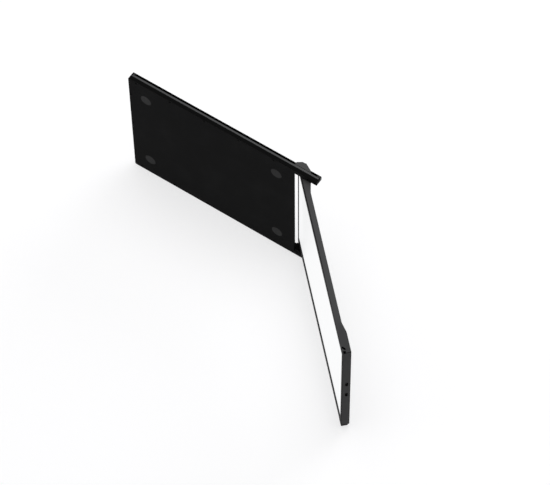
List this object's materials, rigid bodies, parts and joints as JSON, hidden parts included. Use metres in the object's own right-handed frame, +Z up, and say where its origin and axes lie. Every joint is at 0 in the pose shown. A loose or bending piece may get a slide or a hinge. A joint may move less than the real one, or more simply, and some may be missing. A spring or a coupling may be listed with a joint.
{
  "type": "laptop screen extender",
  "caption": "Clip-on second screen for a laptop: a flat frame that clings to the lid, with a display panel on an upright hinge at its right-hand end.",
  "frame": {"origin": "centre of the frame's front face, which lies against the laptop's lid", "axes": "+X along the frame towards the hinge, +Y away from the lid (the back), +Z up"},
  "size_m": [0.5149, 0.2314, 0.22],
  "materials": {
    "frame_plastic": "fine texture",
    "rail_aluminium": "black anodised",
    "carriage_metal": "satin dark grey",
    "casing": "satin dark grey",
    "bezel_plastic": "satin",
    "screen": "matte",
    "panel_glass": "polished",
    "clear_sheet": "clear",
    "sheet_metal": "plain",
    "steel": "satin",
    "black_steel": "blackened",
    "magnet": "black epoxy coat",
    "slippery_plastic": "smooth",
    "board": "solder mask",
    "black_plastic": "moulded",
    "lamp_strip": "moulded",
    "foam": "open cell",
    "soft_pad": "soft",
    "ribbon_film": "smooth",
    "vent": "moulded",
    "foot_rubber": "moulded"
  },
  "bodies": {
    "frame": {"lid_plate": "frame_plastic", "lid_magnets": "magnet", "top_rail": "rail_aluminium", "bottom_rail": "rail_aluminium", "left_end_bar": "frame_plastic", "rail_plugs": "black_plastic", "frame_screws": "black_steel", "top_carriage": "carriage_metal", "bottom_carriage": "carriage_metal", "glide_shoes": "slippery_plastic", "pivot_pins": "steel", "pivot_nuts": "steel"},
    "panel": {"thrust_washers": "slippery_plastic", "friction_washers": "steel", "top_hinge_leaf": "steel", "bottom_hinge_leaf": "steel", "hinge_leaf_screws": "black_steel", "rear_cover": "casing", "front_bezel": "bezel_plastic", "cover_screws": "black_steel", "vent_grilles": "vent", "panel_foot": "foot_rubber", "display_glass": "screen", "lcd_cell": "panel_glass", "led_bar": "lamp_strip", "light_guide": "clear_sheet", "lcd_tray": "sheet_metal", "foam_strips": "foam", "source_board": "board", "ribbon": "ribbon_film", "driver_board": "board", "board_chips": "black_plastic", "thermal_pad": "soft_pad", "board_screws": "steel", "port_shells": "black_steel", "port_tongues": "black_plastic", "push_switches": "black_plastic", "rocker_pin": "steel"},
    "power_button": {"power_button": "black_plastic"},
    "brightness_rocker": {"rocker_button": "black_plastic"}
  },
  "joints": [
    {"name": "panel_hinge", "type": "hinge", "parent": "frame", "child": "panel", "pos_m": [0.1345, 0.0153, 0], "axis": [0, 0, 1], "range_deg": [-45, 225]},
    {"name": "power_button_press", "type": "slide", "parent": "panel", "child": "power_button", "axis": [-0.7071, -0.7071, 0], "range_m": [0, 0.0004], "stiffness_N_per_m": 1500},
    {"name": "brightness_rocker_tilt", "type": "hinge", "parent": "panel", "child": "brightness_rocker", "pos_m": [0.34578, -0.19386, -0.0193], "axis": [0.7071, -0.7071, 0], "range_deg": [-1.5, 1.5], "stiffness_Nm_per_rad": 0.3}
  ]
}
